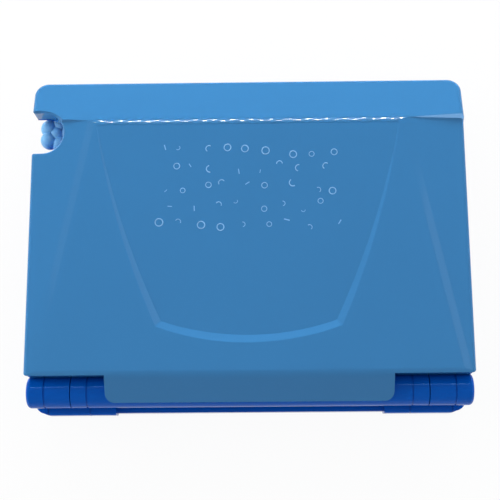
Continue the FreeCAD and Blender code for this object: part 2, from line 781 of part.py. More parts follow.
def make_base_deck():
    body = prism(deck_corners(0), seam_z, deck_top)
    rim = edges_where(body, lambda low, high, middle: high > 0.5 and middle.y < deck_back - margin)
    body = body.makeFillet(deck_round, rim)
    bore_radius = stylus_radius + bore_gap
    kept = [keyboard_well(wall, plate_z, deck_top), control_pocket(wall, control_z - wall, deck_top),
            knob_pocket(wall, seam_z, deck_top),
            rod(bore_end - wall, pocket_x, stylus_y, stylus_height, bore_radius + wall),
            block(bore_end - wall, pocket_x, stylus_y - wall, stylus_y + wall, stylus_height, deck_top)]
    kept += posts(both_sides(case_screws), seam_z, deck_top, boss_radius)
    kept += posts(control_posts, control_board_z, deck_top, boss_radius)
    cavity = prism(deck_corners(wall), seam_z, deck_top - wall).cut(kept)
    shelf = block(-cradle_inner, cradle_inner, deck_back - wall, base_back, seam_z, shelf_top)
    body = fused(body.cut(cavity), [shelf] + deck_knuckles())
    cuts = [keyboard_well(0, well_z, deck_top + margin), control_pocket(0, control_z, deck_top + margin),
            knob_pocket(0, seam_z - margin, deck_top + margin),
            rod(bore_end, pocket_x, stylus_y, stylus_height, bore_radius)]
    for name, column, row, units in keyboard():
        x0, x1, y0, y1 = key_box(column, row, units)
        cuts.append(block(x0 - slide_gap, x1 + slide_gap, y0 - slide_gap, y1 + slide_gap,
                          plate_z - margin, well_z + margin))
    control_under = control_z - wall - margin
    cuts.append(post(button_x, strip_y, control_under, control_z + margin, button_radius + slide_gap))
    slot_half = slider_stem + slide_gap
    slot_reach = slider_travel + slot_half
    cuts.append(block_round(slider_x, strip_y, slot_reach, slot_half, control_under, control_z + margin))
    cuts += grille_slots()
    cuts += hinge_rods(split_x, pin_start + pin_length + pin_fit, pin_radius + pin_fit)
    cuts += ring_grooves(half_width - ring_offset)
    pilot_top = screw_web + screw_length + seat_gap
    cuts += posts(both_sides(case_screws), seam_z - margin, pilot_top, pilot_radius)
    return body.cut(cuts).removeSplitter()


def make_cradle(side):
    """Ribbed back corner of the tray that carries a hinge barrel."""
    front = deck_back + slide_gap
    saddle_z = hinge_height - cradle_rise
    lip_z = hinge_height - cradle_lip
    corners = [(front, foot_height, 0), (back_y, foot_height, cradle_round), (back_y, lip_z, cradle_edge),
               (hinge_y, lip_z, 0), (hinge_y, saddle_z, 0), (front, saddle_z, 0)]
    cradle = profile_along_x(corners, *span(side, cradle_inner, cradle_outer))
    cradle = cradle.common(slab(-cradle_outer, cradle_outer, front_y, back_y, cradle_corner,
                                foot_height, closed_height))
    groove_y = back_y - ring_depth
    inner = [(deck_back, foot_height - margin, 0), (groove_y, foot_height - margin, 0),
             (groove_y, lip_z - ring_depth, cradle_edge), (deck_back, lip_z - ring_depth, 0)]
    for x in (barrel_inner + ring_offset, half_width - ring_offset):
        ends = span(side, x - ring_width / 2, x + ring_width / 2)
        groove = block(*ends, deck_back, back_y, foot_height, closed_height)
        cradle = cradle.cut(groove.cut(profile_along_x(inner, *ends)))
    saddle = rod(-half_width, half_width, hinge_y, hinge_height, barrel_radius + barrel_gap)
    tab_room = rod(-barrel_inner, barrel_inner, hinge_y, hinge_height, tab_radius + barrel_gap)
    return cradle.cut([saddle, tab_room])


def tray_corners(inset):
    return rectangle(-base_half + inset, base_half - inset, base_front + inset, base_back - inset,
                     corner_radius - base_inset - inset)


def bay_block(grow, z0, z1):
    return block_round(0, strip_y, bay_half_x + grow, bay_half_y + grow, z0, z1)


def door_ear_block(grow, z0, z1):
    front = strip_y - bay_half_y - door_ledge
    return slab(-door_ear - grow, door_ear + grow, front - door_ear_length - grow, front + margin,
                wall, z0, z1)


def door_tabs(grow):
    """Two tongues that hold the battery door's back edge behind the bay's wall."""
    edge = strip_y + bay_half_y
    half = tab_half_width + grow
    return [block(x - half, x + half, edge - bay_wall, edge + tab_tongue + grow, floor_z - grow,
                  floor_z + tab_thickness + grow) for x in (-tab_place, tab_place)]


def make_base_tray():
    body = prism(tray_corners(0), foot_height, seam_z)
    body = body.makeFillet(tray_round, edges_at(body, foot_height))
    cavity = prism(tray_corners(wall), floor_z, seam_z + margin)
    cavity = cavity.makeFillet(tray_round - wall, edges_at(cavity, floor_z))
    screw_places = both_sides(case_screws)
    kept = [knob_pocket(wall, foot_height, seam_z)]
    kept += posts(screw_places, foot_height, seam_z, well_radius + wall)
    body = body.cut(cavity.cut(kept))
    added = [make_cradle(side) for side in (-1, 1)]
    added.append(bay_block(bay_wall, foot_height, bay_top + wall))
    added.append(post(0, door_screw_y, foot_height, door_screw_top, boss_radius))
    added += posts(both_sides(board_posts), foot_height + wall / 2, board_top - board_thickness, boss_radius)
    body = fused(body, added)
    under = foot_height - margin
    cuts = [bay_block(0, under, bay_top), bay_block(door_ledge, under, floor_z),
            door_ear_block(0, under, floor_z), knob_pocket(0, under, closed_height),
            post(0, door_screw_y, foot_height, door_screw_top - wall, pilot_radius)]
    cuts += door_tabs(slide_gap)
    cuts += posts(screw_places, under, screw_web, well_radius)
    cuts += posts(screw_places, foot_height, seam_z + margin, screw_radius + slide_gap)
    cuts += posts(both_sides(foot_places), under, foot_height + foot_recess, foot_radius + seat_gap)
    return body.cut(cuts).removeSplitter()


def make_battery_door():
    plate = bay_block(door_ledge - slide_gap, foot_height, floor_z)
    ear = door_ear_block(-slide_gap, foot_height, floor_z)
    door = fused(plate, [ear] + door_tabs(0))
    grips = [slab(-door_ear, door_ear, y - grip_width / 2, y + grip_width / 2, grip_width / 3,
                  foot_height - margin, foot_height + grip_depth)
             for y in (strip_y - grip_pitch, strip_y, strip_y + grip_pitch)]
    head = post(0, door_screw_y, foot_height - margin, foot_height + door_head_height, well_radius)
    shank = post(0, door_screw_y, foot_height, floor_z + margin, screw_radius + slide_gap)
    return door.cut(grips + [head, shank]).removeSplitter()


def screw(x, y, head_z, head_height, length):
    """Screw driven upwards, with its head below head_z."""
    head = post(x, y, head_z - head_height, head_z, screw_head_radius)
    return fused(head, [post(x, y, head_z - head_height / 2, head_z + length, screw_radius)])


def make_cells():
    cells = []
    for row, turn in ((-1, 1), (1, -1)):
        y = strip_y + row * cell_pitch / 2
        for start in (-cell_length, 0):
            can = rod(start, start + cell_length - cell_nub_height, y, cell_z, cell_radius)
            nub = rod(start, start + cell_length, y, cell_z, cell_nub)
            cell = fused(can, [nub])
            if turn < 0:
                cell = cell.mirror(at(0, 0, 0), at(1, 0, 0))
            cells.append(cell)
    return Part.makeCompound(cells)


def make_contacts():
    contacts = []
    plate_x = bay_half_x - contact_plate / 2
    low = cell_z - contact_half
    high = cell_z + contact_half
    for x, y in both_sides([(plate_x, strip_y - cell_pitch / 2), (plate_x, strip_y + cell_pitch / 2)]):
        inward = -1 if x > 0 else 1
        plate = block_round(x, y, contact_plate / 2, contact_half, low, high)
        cone = Part.makeCone(contact_half - contact_plate, cell_nub, contact_length - contact_plate,
                             at(x + inward * contact_plate / 2, y, cell_z), at(inward, 0, 0))
        contacts.append(fused(plate, [cone]))
    return Part.makeCompound(contacts)


def make_speaker():
    """Round loudspeaker: rim, cone basket and magnet, turned about its axis."""
    top = deck_top - wall
    outline = [(0, top - speaker_depth), (speaker_radius / 2, top - speaker_depth),
               (speaker_radius / 2, top - speaker_depth / 2), (speaker_radius - wall, top - wall),
               (speaker_radius, top - wall), (speaker_radius, top), (speaker_radius - wall, top),
               (speaker_radius / 3, top - speaker_depth / 3), (0, top - speaker_depth / 3)]
    points = [at(speaker_x + radius, strip_y, z) for radius, z in outline]
    face = Part.Face(Part.makePolygon(points + points[:1]))
    return face.revolve(at(speaker_x, strip_y, 0), at(0, 0, 1), 360)


def make_control_board():
    bottom = control_board_z - board_thickness
    board = slab(control_left, control_right, strip_y - control_half, strip_y + control_half, wall,
                 bottom, control_board_z)
    switch_top = control_flange - key_flange_height - button_travel - slide_gap
    switch_half = button_radius / 2
    switch = block_round(button_x, strip_y, switch_half, switch_half, control_board_z, switch_top)
    holes = posts(control_posts, bottom - margin, control_board_z + margin, screw_radius)
    return fused(board, [switch]).cut(holes)


def make_power_button():
    top = control_z + button_rise
    bottom = control_flange - key_flange_height
    cap = post(button_x, strip_y, bottom, top, button_radius)
    cap = cap.makeFillet(button_round, edges_at(cap, top))
    return fused(cap, [post(button_x, strip_y, bottom, control_flange, button_radius + key_flange)])


def make_volume_slider():
    top = control_z + slider_rise
    bottom = control_flange - key_flange_height
    half_x = slider_length / 2
    half_y = slider_width / 2
    cap = slab(slider_x - half_x, slider_x + half_x, strip_y - half_y, strip_y + half_y,
               wall / 2, control_z, top)
    stem = block_round(slider_x, strip_y, slider_stem, slider_stem, bottom, control_z + slider_rise / 2)
    keeper = block_round(slider_x, strip_y, half_x, half_y, bottom, control_flange)
    ridges = [block_round(slider_x + shift, strip_y, grip_depth / 2, slider_width,
                          top - grip_depth, top + margin) for shift in (-half_x / 2, 0, half_x / 2)]
    return fused(cap, [stem, keeper]).cut(ridges)


def make_knob():
    """Flower-shaped knob of balls round a core, lying flat in its pocket, with its stem."""
    reach = knob_radius - petal_radius
    petals = []
    for index in range(petal_count):
        angle = math.pi + 2 * math.pi * index / petal_count
        place = at(knob_x + reach * math.cos(angle), stylus_y + reach * math.sin(angle), stylus_height)
        petals.append(Part.makeSphere(petal_radius, place, at(math.cos(angle), math.sin(angle), 0)))
    core = Part.makeSphere(knob_core_radius, at(knob_x, stylus_y, stylus_height))
    return fused(core, petals + [rod(stylus_end, knob_x, stylus_y, stylus_height, stylus_radius)])


def make_stylus():
    """Barrel and tip of the stylus, lying along X."""
    tip_x = stylus_end - stylus_length
    neck_x = tip_x + tip_length
    taper_x = neck_x + 2 * tip_length
    outline = [(stylus_end, 0), (stylus_end, stylus_radius), (taper_x, stylus_radius), (neck_x, stylus_neck),
               (neck_x, 0)]
    points = [at(x, stylus_y, stylus_height + radius) for x, radius in outline]
    face = Part.Face(Part.makePolygon(points + points[:1]))
    barrel = face.revolve(at(0, stylus_y, stylus_height), at(1, 0, 0), 360)
    for index in range(grip_rings):
        x = taper_x + (index + 1) * grip_pitch
        ring = rod(x, x + grip_width, stylus_y, stylus_height, 2 * stylus_radius)
        core = rod(x - margin, x + grip_width + margin, stylus_y, stylus_height, stylus_radius - grip_depth)
        barrel = barrel.cut(ring.cut(core))
    tip = Part.makeCone(tip_radius, stylus_neck, tip_length, at(tip_x, stylus_y, stylus_height), at(1, 0, 0))
    return barrel, tip


def make_feet():
    feet = posts(both_sides(foot_places), 0, foot_height + foot_recess, foot_radius)
    return Part.makeCompound([foot.makeChamfer(foot_chamfer, edges_at(foot, 0)) for foot in feet])


def screws(places, head_z, head_height, length):
    return Part.makeCompound([screw(x, y, head_z, head_height, length) for x, y in places])


def main():
    os.makedirs("parts", exist_ok=True)
    save("lid_cover", make_lid_cover())
    save("lid_bezel", make_lid_bezel())
    window, panel = make_display()
    save("screen_window", window)
    save("display_panel", panel)
    lid_head_z = bezel_z + screw_head_height
    save("lid_screws", screws(both_sides(lid_screws), lid_head_z, screw_head_height, lid_screw_length))
    bumpers = posts(both_sides(bumper_places), deck_top + pin_fit, bezel_z + bumper_recess, bumper_radius)
    save("lid_bumpers", Part.makeCompound(bumpers))
    save("base_deck", make_base_deck())
    save("base_tray", make_base_tray())
    for name, column, row, units in keyboard():
        save("key_" + name, make_key(column, row, units))
    save("key_mat", make_key_mat())
    save("main_board", make_main_board())
    save("speaker", make_speaker())
    save("control_board", make_control_board())
    save("power_button", make_power_button())
    save("volume_slider", make_volume_slider())
    save("stylus_knob", make_knob())
    barrel, tip = make_stylus()
    save("stylus_barrel", barrel)
    save("stylus_tip", tip)
    save("battery_cells", make_cells())
    save("battery_contacts", make_contacts())
    save("battery_door", make_battery_door())
    door_head_z = foot_height + door_head_height
    save("door_screw", screw(0, door_screw_y, door_head_z, door_head_height, door_screw_length))
    save("case_screws", screws(both_sides(case_screws), screw_web, screw_head_height, screw_length))
    save("hinge_pins", Part.makeCompound(hinge_rods(pin_start, pin_start + pin_length, pin_radius)))
    save("rubber_feet", make_feet())


main()
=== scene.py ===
import math
import bmesh
import bpy
from mathutils import Euler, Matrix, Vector
from mathutils.bvhtree import BVHTree


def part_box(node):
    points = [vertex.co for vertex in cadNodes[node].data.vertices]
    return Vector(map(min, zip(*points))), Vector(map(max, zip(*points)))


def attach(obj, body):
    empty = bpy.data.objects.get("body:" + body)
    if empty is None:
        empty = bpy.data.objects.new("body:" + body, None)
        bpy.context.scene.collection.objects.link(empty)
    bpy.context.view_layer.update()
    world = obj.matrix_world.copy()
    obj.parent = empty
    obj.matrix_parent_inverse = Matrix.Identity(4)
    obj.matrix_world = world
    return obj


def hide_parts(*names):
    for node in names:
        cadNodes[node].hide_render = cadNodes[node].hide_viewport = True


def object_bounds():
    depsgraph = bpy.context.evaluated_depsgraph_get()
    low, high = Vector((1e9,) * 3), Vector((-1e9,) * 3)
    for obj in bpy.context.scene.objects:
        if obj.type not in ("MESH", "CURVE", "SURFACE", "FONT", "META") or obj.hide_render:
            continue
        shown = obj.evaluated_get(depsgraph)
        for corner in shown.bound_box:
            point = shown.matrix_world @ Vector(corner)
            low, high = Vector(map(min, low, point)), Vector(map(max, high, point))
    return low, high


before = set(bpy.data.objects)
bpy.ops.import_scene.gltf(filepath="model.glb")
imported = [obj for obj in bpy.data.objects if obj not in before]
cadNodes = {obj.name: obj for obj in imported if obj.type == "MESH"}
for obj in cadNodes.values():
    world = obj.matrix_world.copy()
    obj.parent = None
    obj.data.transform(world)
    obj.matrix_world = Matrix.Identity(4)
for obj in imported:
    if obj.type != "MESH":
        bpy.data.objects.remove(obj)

# toy laptop, closed: +X is the user's right, -Y the front edge, the hinge is at +Y. Metres.
for startName in ("Cube", "Light", "Camera"):  # what a fresh file holds
    startObject = bpy.data.objects.get(startName)
    if startObject is not None:
        bpy.data.objects.remove(startObject)
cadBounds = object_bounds()
mm = 0.001
print("frame loaded with", len(cadNodes), "nodes")


# node helpers

def addNode(tree, kind, **values):
    made = tree.nodes.new(kind)
    for key, value in values.items():
        setattr(made, key, value)
    return made


def setInputs(node, values):
    for name, value in values.items():
        node.inputs[name].default_value = value


def mathNode(tree, operation, first, second=0.0):
    made = addNode(tree, "ShaderNodeMath", operation=operation)
    for index, value in enumerate((first, second)):
        if isinstance(value, (int, float)):
            made.inputs[index].default_value = value
        else:
            tree.links.new(value, made.inputs[index])
    return made.outputs["Value"]


def typedSockets(sockets, kind):  # some nodes carry the same socket once for each type of data
    return [socket for socket in sockets if socket.type == kind]


# finishes

def linear(red, green, blue):  # from screen values, 0 to 255
    def channel(value):
        share = value / 255
        return share / 12.92 if share <= 0.04045 else ((share + 0.055) / 1.055) ** 2.4
    return (channel(red), channel(green), channel(blue), 1.0)


def shaded(colour, factor):
    return tuple(min(1.0, channel * factor) for channel in colour[:3]) + (1.0,)


class Finish:
    def __init__(self, name):
        self.material = bpy.data.materials.new(name)
        self.material.use_nodes = True
        self.tree = self.material.node_tree
        self.shader = self.tree.nodes["Principled BSDF"]
        self.coords = self.node("ShaderNodeTexCoord").outputs["Object"]

    def node(self, kind, **values):
        return addNode(self.tree, kind, **values)

    def link(self, output, target):
        self.tree.links.new(output, target)

    def put(self, name, value):  # a number or an output, into the shader
        if isinstance(value, (int, float)):
            self.shader.inputs[name].default_value = value
        else:
            self.link(value, self.shader.inputs[name])

    def noise(self, scale, detail=2.0, roughness=0.5, stretch=None):
        texture = self.node("ShaderNodeTexNoise")
        setInputs(texture, {"Scale": scale, "Detail": detail, "Roughness": roughness})
        source = self.coords
        if stretch is not None:
            mapping = self.node("ShaderNodeMapping")
            setInputs(mapping, {"Scale": stretch})
            self.link(source, mapping.inputs["Vector"])
            source = mapping.outputs["Vector"]
        self.link(source, texture.inputs["Vector"])
        return texture.outputs["Fac"]

    def spread(self, value, low, high, fromLow=0.3, fromHigh=0.7):
        ranged = self.node("ShaderNodeMapRange")
        setInputs(ranged, {"From Min": fromLow, "From Max": fromHigh, "To Min": low, "To Max": high})
        self.link(value, ranged.inputs["Value"])
        return ranged.outputs["Result"]

    def mix(self, factor, first, second):
        mixed = self.node("ShaderNodeMix", data_type="RGBA")
        for target, value in zip(typedSockets(mixed.inputs, "RGBA"), (first, second)):
            if isinstance(value, tuple):
                target.default_value = value
            else:
                self.link(value, target)
        self.link(factor, mixed.inputs["Factor"])
        return typedSockets(mixed.outputs, "RGBA")[0]

    def blend(self, clouds, first, second):
        return self.mix(self.spread(clouds, 0.0, 1.0), first, second)

    def mottled(self, clouds, look):
        darker = shaded(look["colour"], 1 - look["mottle"])
        return self.blend(clouds, darker, shaded(look["colour"], 1 + look["mottle"]))

    def worn(self, clouds, look):
        return self.spread(clouds, look["roughness"] - look["wear"], look["roughness"] + look["wear"])

    def bump(self, height, distance, strength=1.0):
        bumped = self.node("ShaderNodeBump")
        setInputs(bumped, {"Distance": distance, "Strength": strength})
        self.link(height, bumped.inputs["Height"])
        self.put("Normal", bumped.outputs["Normal"])


def mouldedPlastic(name, look):
    finish = Finish(name)
    tone = finish.mottled(finish.noise(look["cloudScale"], detail=3.0), look)
    if "speckScale" in look:
        cells = finish.node("ShaderNodeTexVoronoi")
        setInputs(cells, {"Scale": look["speckScale"]})
        finish.link(finish.coords, cells.inputs["Vector"])
        near = mathNode(finish.tree, "LESS_THAN", cells.outputs["Distance"], look["speckSize"])
        split = finish.node("ShaderNodeSeparateColor")
        finish.link(cells.outputs["Color"], split.inputs["Color"])
        chosen = mathNode(finish.tree, "GREATER_THAN", split.outputs["Red"], look["speckRarity"])
        specks = mathNode(finish.tree, "MULTIPLY", near, chosen)
        tone = finish.mix(specks, tone, shaded(look["colour"], look["speckTone"]))
    finish.put("Base Color", tone)
    wear = finish.noise(look["wearScale"], detail=4.0, roughness=0.6, stretch=look.get("wearStretch"))
    finish.put("Roughness", finish.worn(wear, look))
    finish.bump(finish.noise(look["grainScale"]), look["grainDepth"], strength=0.6)
    finish.put("Specular IOR Level", look.get("specular", 0.5))
    return finish.material


def softRubber(name, look):
    finish = Finish(name)
    finish.put("Base Color", finish.mottled(finish.noise(look["cloudScale"], detail=3.0), look))
    finish.put("Roughness", finish.worn(finish.noise(look["grainScale"], detail=3.0), look))
    finish.bump(finish.noise(look["grainScale"] * 2), look["grainDepth"], strength=0.8)
    finish.put("Specular IOR Level", look["specular"])
    return finish.material


def platedMetal(name, look):
    finish = Finish(name)
    streaks = finish.noise(look["streakScale"], detail=3.0, roughness=0.6, stretch=look["streakStretch"])
    darker = shaded(look["colour"], look["streakTone"])
    finish.put("Base Color", finish.blend(streaks, darker, look["colour"]))
    finish.put("Roughness", finish.spread(streaks, look["roughness"] - look["smoother"],
                                          look["roughness"] + look["rougher"]))
    finish.bump(streaks, look["grainDepth"], strength=0.4)
    finish.put("Metallic", 1.0)
    return finish.material


def clearWindow(name, look):
    finish = Finish(name)
    smudge = finish.noise(look["smudgeScale"], detail=4.0, roughness=0.6)
    finish.put("Roughness", finish.spread(smudge, look["roughness"], look["roughness"] + look["rougher"]))
    darker = shaded(look["colour"], look["smudgeTone"])
    finish.put("Base Color", finish.blend(smudge, look["colour"], darker))
    finish.put("Transmission Weight", 1.0)
    finish.put("IOR", look["bend"])  # low, as behind an anti-glare coat
    return finish.material


def displayFace(name, look):
    finish = Finish(name)
    grid = finish.node("ShaderNodeTexBrick", offset=0.0)
    setInputs(grid, {"Scale": look["pixelScale"], "Brick Width": 1.0, "Row Height": 1.0,
                     "Mortar Size": look["gap"], "Color1": look["colour"],
                     "Color2": shaded(look["colour"], look["pixelTone"]),
                     "Mortar": shaded(look["colour"], look["gapTone"])})
    finish.link(finish.coords, grid.inputs["Vector"])
    clouds = finish.noise(look["cloudScale"])
    cloudy = finish.spread(clouds, 0.0, look["cloudShare"])
    darker = shaded(look["colour"], look["cloudTone"])
    finish.put("Base Color", finish.mix(cloudy, grid.outputs["Color"], darker))
    finish.put("Roughness", finish.spread(clouds, look["smoothest"], look["roughest"]))
    return finish.material


def circuitBoard(name, look):
    finish = Finish(name)
    traces = finish.node("ShaderNodeTexBrick")
    setInputs(traces, {"Scale": look["traceScale"], "Mortar Size": look["traceWidth"],
                       "Color1": look["colour"], "Color2": shaded(look["colour"], look["fieldTone"]),
                       "Mortar": shaded(look["colour"], look["traceTone"])})
    finish.link(finish.coords, traces.inputs["Vector"])
    finish.put("Base Color", traces.outputs["Color"])
    wear = finish.noise(look["wearScale"])
    finish.put("Roughness", finish.spread(wear, look["smoothest"], look["roughest"]))
    finish.bump(traces.outputs["Fac"], look["traceDepth"])
    return finish.material


plasticLooks = {
    "lidShell": {"colour": linear(50, 123, 179), "cloudScale": 14.0, "mottle": 0.015, "roughness": 0.035,
                 "wear": 0.01, "wearScale": 90.0, "wearStretch": (1.0, 0.25, 1.0), "grainScale": 1500.0,
                 "grainDepth": 0.0000002, "speckScale": 70.0, "speckSize": 0.02, "speckRarity": 0.975,
                 "speckTone": 0.45},
    "caseShell": {"colour": linear(0, 89, 188), "cloudScale": 20.0, "mottle": 0.02, "roughness": 0.13,
                  "wear": 0.03, "wearScale": 120.0, "grainScale": 1800.0, "grainDepth": 0.000003,
                  "specular": 0.12},
    "whiteKeys": {"colour": linear(226, 231, 236), "cloudScale": 60.0, "mottle": 0.02, "roughness": 0.42,
                  "wear": 0.08, "wearScale": 300.0, "grainScale": 3000.0, "grainDepth": 0.000008},
    "yellowKeys": {"colour": linear(240, 186, 60), "cloudScale": 60.0, "mottle": 0.03, "roughness": 0.42,
                   "wear": 0.08, "wearScale": 300.0, "grainScale": 3000.0, "grainDepth": 0.000008},
    "orangeControls": {"colour": linear(226, 106, 48), "cloudScale": 60.0, "mottle": 0.03, "roughness": 0.38,
                       "wear": 0.07, "wearScale": 300.0, "grainScale": 3000.0, "grainDepth": 0.000008},
    "stylusBody": {"colour": linear(118, 187, 238), "cloudScale": 80.0, "mottle": 0.03, "roughness": 0.3,
                   "wear": 0.06, "wearScale": 250.0, "grainScale": 2500.0, "grainDepth": 0.000004},
    "stylusNib": {"colour": linear(42, 46, 54), "cloudScale": 90.0, "mottle": 0.06, "roughness": 0.45,
                  "wear": 0.08, "wearScale": 400.0, "grainScale": 3000.0, "grainDepth": 0.000006},
    "lidInk": {"colour": linear(122, 178, 226), "cloudScale": 60.0, "mottle": 0.03, "roughness": 0.32,
               "wear": 0.05, "wearScale": 400.0, "grainScale": 4000.0, "grainDepth": 0.000002},
    "legendInk": {"colour": linear(24, 52, 112), "cloudScale": 90.0, "mottle": 0.05, "roughness": 0.4,
                  "wear": 0.06, "wearScale": 500.0, "grainScale": 4000.0, "grainDepth": 0.000002},
    "paleInk": {"colour": linear(214, 230, 246), "cloudScale": 90.0, "mottle": 0.03, "roughness": 0.4,
                "wear": 0.06, "wearScale": 500.0, "grainScale": 4000.0, "grainDepth": 0.000002},
    "cellJacket": {"colour": linear(58, 60, 66), "cloudScale": 50.0, "mottle": 0.08, "roughness": 0.35,
                   "wear": 0.08, "wearScale": 200.0, "grainScale": 2000.0, "grainDepth": 0.000004},
    "speakerCone": {"colour": linear(36, 36, 40), "cloudScale": 120.0, "mottle": 0.15, "roughness": 0.7,
                    "wear": 0.1, "wearScale": 400.0, "grainScale": 1500.0, "grainDepth": 0.00003},
}
rubberLooks = {
    "footRubber": {"colour": linear(40, 42, 47), "cloudScale": 90.0, "mottle": 0.15, "roughness": 0.7,
                   "wear": 0.08, "grainScale": 900.0, "grainDepth": 0.00002, "specular": 0.35},
    "keySilicone": {"colour": linear(186, 188, 186), "cloudScale": 70.0, "mottle": 0.15, "roughness": 0.55,
                    "wear": 0.08, "grainScale": 900.0, "grainDepth": 0.00001, "specular": 0.35},
}
metalLook = {"colour": linear(142, 143, 148), "streakScale": 60.0, "streakStretch": (1.0, 1.0, 18.0),
             "streakTone": 0.88, "roughness": 0.42, "smoother": 0.06, "rougher": 0.1, "grainDepth": 0.000004}
windowLook = {"colour": linear(238, 244, 242), "smudgeScale": 45.0, "smudgeTone": 0.97, "roughness": 0.1,
              "rougher": 0.08, "bend": 1.16}
displayLook = {"colour": linear(128, 146, 122), "pixelScale": 650.0, "pixelTone": 0.97, "gap": 0.06,
               "gapTone": 1.12, "cloudScale": 18.0, "cloudShare": 0.35, "cloudTone": 0.8,
               "smoothest": 0.28, "roughest": 0.4}
boardLook = {"colour": linear(24, 92, 56), "traceScale": 160.0, "traceWidth": 0.05, "traceTone": 1.5,
             "traceDepth": 0.00003, "fieldTone": 0.85, "wearScale": 200.0, "smoothest": 0.3,
             "roughest": 0.45}
finishes = {name: mouldedPlastic(name, look) for name, look in plasticLooks.items()}
finishes.update({name: softRubber(name, look) for name, look in rubberLooks.items()})
finishes["platedSteel"] = platedMetal("platedSteel", metalLook)
finishes["clearWindow"] = clearWindow("clearWindow", windowLook)
finishes["displayFace"] = displayFace("displayFace", displayLook)
finishes["circuitGreen"] = circuitBoard("circuitGreen", boardLook)
print("finishes made:", len(finishes))

nodeFinishes = {
    "lid_cover": "lidShell", "lid_bezel": "caseShell", "base_deck": "caseShell", "base_tray": "caseShell",
    "battery_door": "caseShell", "screen_window": "clearWindow", "display_panel": "displayFace",
    "lid_bumpers": "footRubber", "rubber_feet": "footRubber", "key_mat": "keySilicone",
    "main_board": "circuitGreen", "control_board": "circuitGreen", "speaker": "speakerCone",
    "battery_cells": "cellJacket", "battery_contacts": "platedSteel", "hinge_pins": "platedSteel",
    "stylus_knob": "stylusBody", "stylus_barrel": "stylusBody", "stylus_tip": "stylusNib",
    "power_button": "orangeControls", "volume_slider": "orangeControls",
}
for nodeName, finishName in nodeFinishes.items():
    cadNodes[nodeName].material_slots[0].material = finishes[finishName]
print("CAD pieces finished:", len(nodeFinishes))


# pieces made here

def pieceFrom(name, mesh, finishName, body, replaced=()):
    piece = bpy.data.objects.new(name, mesh)
    bpy.context.scene.collection.objects.link(piece)
    if finishName is not None:
        mesh.materials.clear()
        mesh.materials.append(finishes[finishName])
    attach(piece, body)
    for node in replaced:
        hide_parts(node)
    return piece


def middleOf(low, high):
    return (low.x + high.x) / 2, (low.y + high.y) / 2


sharpAngle = math.radians(35)  # edges that turn more than this stay crisp


def meshFromBmesh(name, shape):
    bmesh.ops.recalc_face_normals(shape, faces=shape.faces)
    for face in shape.faces:
        face.smooth = True
    for edge in shape.edges:
        if len(edge.link_faces) == 2 and edge.calc_face_angle(0.0) > sharpAngle:
            edge.smooth = False
    mesh = bpy.data.meshes.new(name)
    shape.to_mesh(mesh)
    shape.free()
    return mesh


leastFlat = 0.00001  # left between two rounds of an outline


def ringOutline(low, high, inset, radius, cornerSteps):
    x0, y0 = low[0] + inset, low[1] + inset
    x1, y1 = high[0] - inset, high[1] - inset
    radius = min(radius, (x1 - x0) / 2 - leastFlat, (y1 - y0) / 2 - leastFlat)
    points = []
    for cx, cy, start in ((x1 - radius, y1 - radius, 0), (x0 + radius, y1 - radius, 90),
                          (x0 + radius, y0 + radius, 180), (x1 - radius, y0 + radius, 270)):
        for step in range(cornerSteps + 1):
            angle = math.radians(start + 90 * step / cornerSteps)
            points.append((cx + radius * math.cos(angle), cy + radius * math.sin(angle)))
    return points


def addWall(shape, lower, upper):
    count = len(lower)
    for index in range(count):
        after = (index + 1) % count
        shape.faces.new((lower[index], lower[after], upper[after], upper[index]))


def stackRings(shape, rings):
    loops = [[shape.verts.new((x, y, z)) for x, y in outline] for outline, z in rings]
    for below, above in zip(loops, loops[1:]):
        addWall(shape, below, above)
    shape.faces.new(list(reversed(loops[0])))
    shape.faces.new(loops[-1])


keyCap = {
    "flange": 0.8 * mm, "flangeHeight": 1.0 * mm, "skirtHeight": 3.2 * mm, "skirtCorner": 0.3 * mm,
    "lipInset": 0.02 * mm, "lipHeight": 0.15 * mm,
    "corner": 1.6 * mm, "cornerShrink": 0.3, "leastCorner": 0.4 * mm, "cornerSteps": 5,
    "shoulder": [(0.62, 0.8), (0.76, 0.45), (0.98, 0.18), (1.32, 0.03), (1.7, 0.0)],  # inset and drop, mm
    "dish": [(2.4, 0.03), (3.3, 0.1), (4.3, 0.19), (5.3, 0.25), (6.1, 0.28)],
}


def keyCapMesh(name, low, high):
    flange = keyCap["flange"]
    corner = keyCap["corner"]
    skirtCorner = keyCap["skirtCorner"]
    flangeTop = low.z + keyCap["flangeHeight"]
    skirtTop = low.z + keyCap["skirtHeight"]
    rings = [(-flange, low.z, skirtCorner), (-flange, flangeTop, skirtCorner), (0.0, flangeTop, skirtCorner),
             (0.0, skirtTop, skirtCorner), (keyCap["lipInset"], skirtTop + keyCap["lipHeight"], corner)]
    for inset, drop in keyCap["shoulder"] + keyCap["dish"]:
        radius = max(corner - keyCap["cornerShrink"] * inset * mm, keyCap["leastCorner"])
        rings.append((inset * mm, high.z - drop * mm, radius))
    foot = (low.x + flange, low.y + flange)
    top = (high.x - flange, high.y - flange)
    shape = bmesh.new()
    stackRings(shape, [(ringOutline(foot, top, inset, radius, keyCap["cornerSteps"]), z)
                       for inset, z, radius in rings])
    return meshFromBmesh(name, shape)


letterKeys = "qwertyuiopasdfghjklzxcvbnm"
yellowKeys = ("erase", "enter", "up", "menu", "left", "down", "right")
keyPieces = {}
for keyName in list(letterKeys) + list(yellowKeys) + ["space"]:
    node = "key_" + keyName
    low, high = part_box(node)
    yellow = keyName in yellowKeys
    mesh = keyCapMesh(node + "_cap", low, high)
    keyPieces[keyName] = pieceFrom(node + "_cap", mesh, "yellowKeys" if yellow else "whiteKeys", node,
                                   (node,))
print("key caps made:", len(keyPieces))


